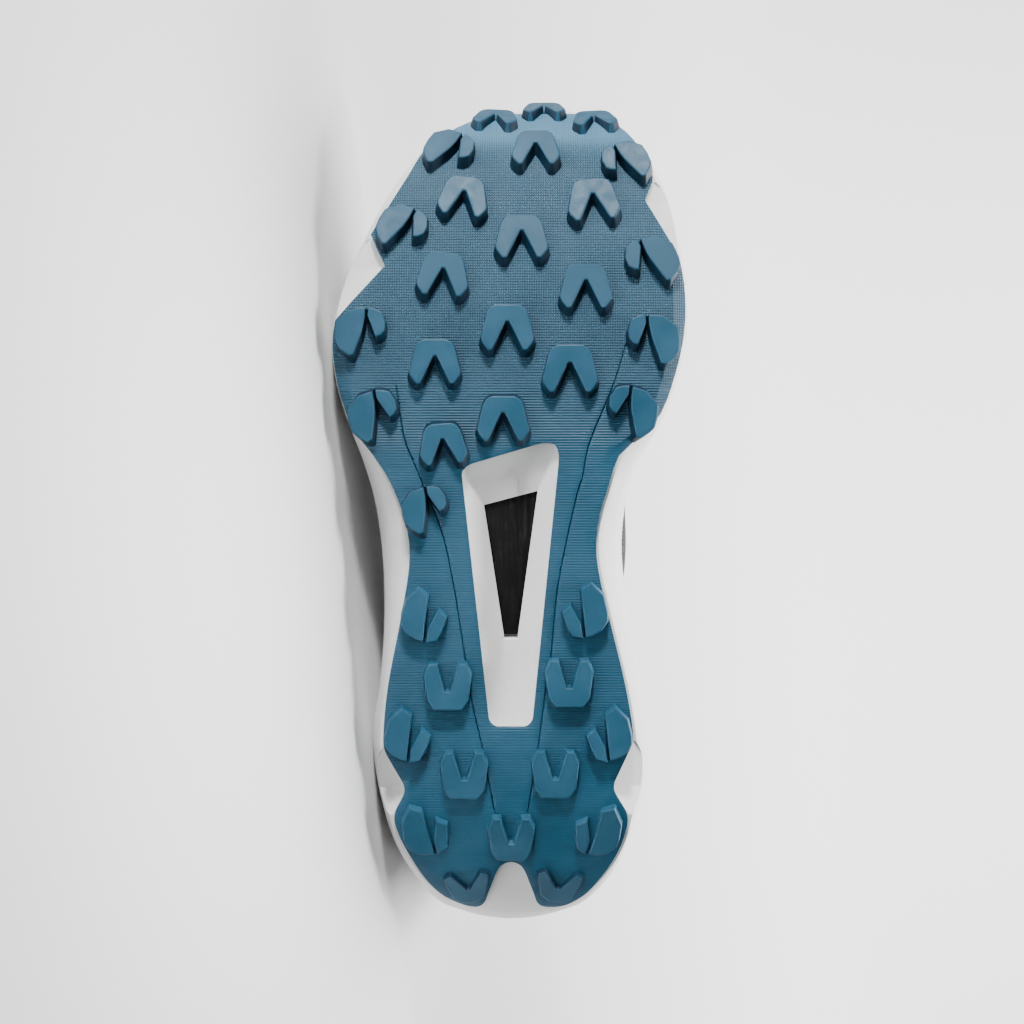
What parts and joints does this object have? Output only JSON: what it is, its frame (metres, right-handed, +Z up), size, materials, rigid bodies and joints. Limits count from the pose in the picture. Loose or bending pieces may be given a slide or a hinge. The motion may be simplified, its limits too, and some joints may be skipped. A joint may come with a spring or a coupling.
{
  "type": "trail running shoe",
  "caption": "Right trail running shoe lying on its side: chevron-lugged rubber sole, foam midsole, knitted upper, tongue and laces.",
  "frame": {"origin": "bottom centre of the bounding box of the shoe as it lies on its lateral side", "axes": "-X towards the toe, -Y out of the tread, +Z up, which is the shoe's medial side"},
  "size_m": [0.2908, 0.1324, 0.1249],
  "materials": {
    "tread_rubber": "ribbed matt rubber with smoother lug pads",
    "foam": "moulded foam, matt",
    "insert": "woven composite look, satin",
    "insole_cloth": "brushed cloth over foam",
    "knit": "heathered knit",
    "film": "welded film, satin",
    "cord": "flat woven lace"
  },
  "bodies": {
    "root": {"outsole": "tread_rubber", "midsole": "foam", "arch_insert": "insert", "insole": "insole_cloth", "upper": "knit", "toe_cap": "film", "heel_counter": "film", "tongue": "knit", "lace": "cord"}
  },
  "joints": []
}
